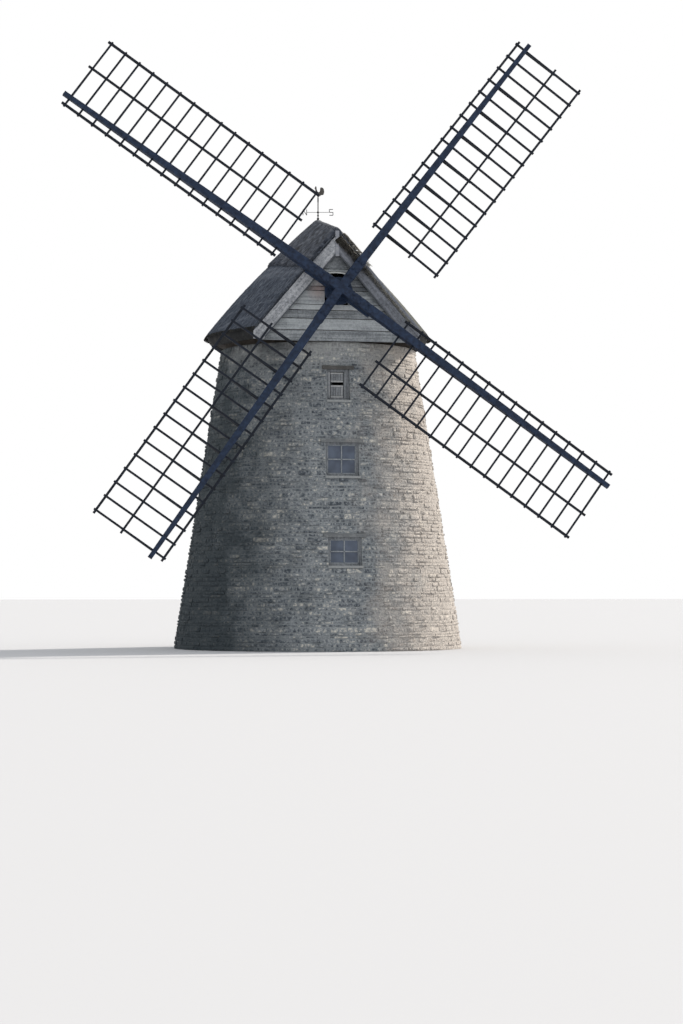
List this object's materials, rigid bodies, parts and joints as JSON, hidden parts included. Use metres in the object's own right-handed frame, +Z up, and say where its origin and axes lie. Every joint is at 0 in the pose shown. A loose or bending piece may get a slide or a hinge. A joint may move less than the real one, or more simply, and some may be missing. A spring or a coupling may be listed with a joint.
{
  "type": "traditional tower windmill",
  "caption": "Small round stone tower mill with a thatched turning cap, a boarded gable and open lattice sails on a sloping windshaft, with a weathercock.",
  "frame": {"origin": "on the ground at the tower's vertical axis", "axes": "+Z up, the sails and the gable face -Y, +X to the right seen from the front"},
  "size_m": [14.2964, 8.2724, 16.2994],
  "materials": {
    "lias_stone": "matte",
    "dressed_stone": "matte",
    "oak_timber": "matte",
    "weathered_joinery": "matte",
    "weathered_boards": "matte",
    "window_glass": "gloss",
    "thatch": "matte",
    "thatch_ridge": "matte",
    "black_iron": "satin",
    "painted_timber": "satin",
    "wrought_iron": "satin"
  },
  "bodies": {
    "tower": {"front_wall": "lias_stone", "rear_wall": "lias_stone", "left_wall_1": "lias_stone", "left_wall_2": "lias_stone", "left_wall_3": "lias_stone", "left_wall_4": "lias_stone", "left_wall_5": "lias_stone", "right_wall_1": "lias_stone", "right_wall_2": "lias_stone", "right_wall_3": "lias_stone", "right_wall_4": "lias_stone", "right_wall_5": "lias_stone", "ground_floor": "dressed_stone", "floor_beams": "oak_timber", "upper_floors": "oak_timber", "curb_ring": "oak_timber", "lintels": "dressed_stone", "sills": "dressed_stone", "hatch_frame": "weathered_joinery", "hatch_shutter": "weathered_joinery", "window_frames": "weathered_joinery", "window_glass": "window_glass", "door_frame": "weathered_joinery", "plank_door": "weathered_joinery"},
    "cap": {"cap_ring": "oak_timber", "cap_frame": "oak_timber", "cap_rafters": "oak_timber", "thatch": "thatch", "thatch_ridge": "thatch_ridge", "gable_boards": "weathered_boards", "left_barge_board": "weathered_boards", "right_barge_board": "weathered_boards", "neck_beam": "oak_timber", "shaft_bearings": "black_iron", "vane_rod": "wrought_iron"},
    "sails": {"windshaft": "black_iron", "iron_cross": "black_iron", "sail_back_1": "painted_timber", "sail_back_2": "painted_timber", "sail_back_3": "painted_timber", "sail_back_4": "painted_timber", "sail_lattice_1": "painted_timber", "sail_lattice_2": "painted_timber", "sail_lattice_3": "painted_timber", "sail_lattice_4": "painted_timber"},
    "vane": {"weathercock": "wrought_iron"}
  },
  "joints": [
    {"name": "cap_turn", "type": "hinge", "parent": "tower", "child": "cap", "pos_m": [0, 0, 8.12], "axis": [0, 0, 1], "continuous": true},
    {"name": "sail_turn", "type": "hinge", "parent": "cap", "child": "sails", "pos_m": [0, -3.3, 9.4], "axis": [0, -0.9903, 0.1392], "continuous": true},
    {"name": "vane_turn", "type": "hinge", "parent": "cap", "child": "vane", "pos_m": [0, 0, 12.18], "axis": [0, 0, 1], "continuous": true}
  ]
}
